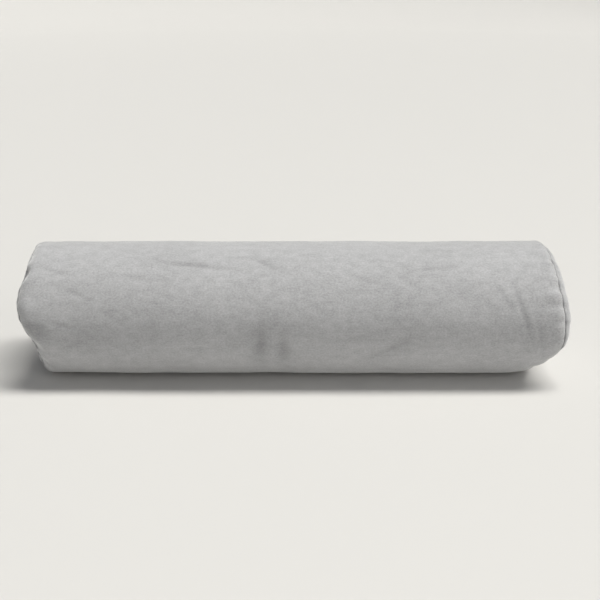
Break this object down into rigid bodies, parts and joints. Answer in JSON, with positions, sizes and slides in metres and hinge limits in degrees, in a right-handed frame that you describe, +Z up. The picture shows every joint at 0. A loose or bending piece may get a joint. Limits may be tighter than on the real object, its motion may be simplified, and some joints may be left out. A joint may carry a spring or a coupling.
{
  "type": "cervical roll",
  "caption": "Firm cylindrical neck pillow: a filled tube of brushed grey cloth with a round end panel sewn into each end, resting on a small flat spot.",
  "frame": {"origin": "on the flat spot that the roll rests on, under the middle of its box", "axes": "+X along the roll to its right end, -Y to its front, +Z up"},
  "size_m": [0.4584, 0.1146, 0.1114],
  "materials": {
    "brushed_cloth": "short brushed nap, matt, mid grey"
  },
  "bodies": {
    "root": {"tube_panel": "brushed_cloth", "end_panel_left": "brushed_cloth", "end_panel_right": "brushed_cloth"}
  },
  "joints": []
}
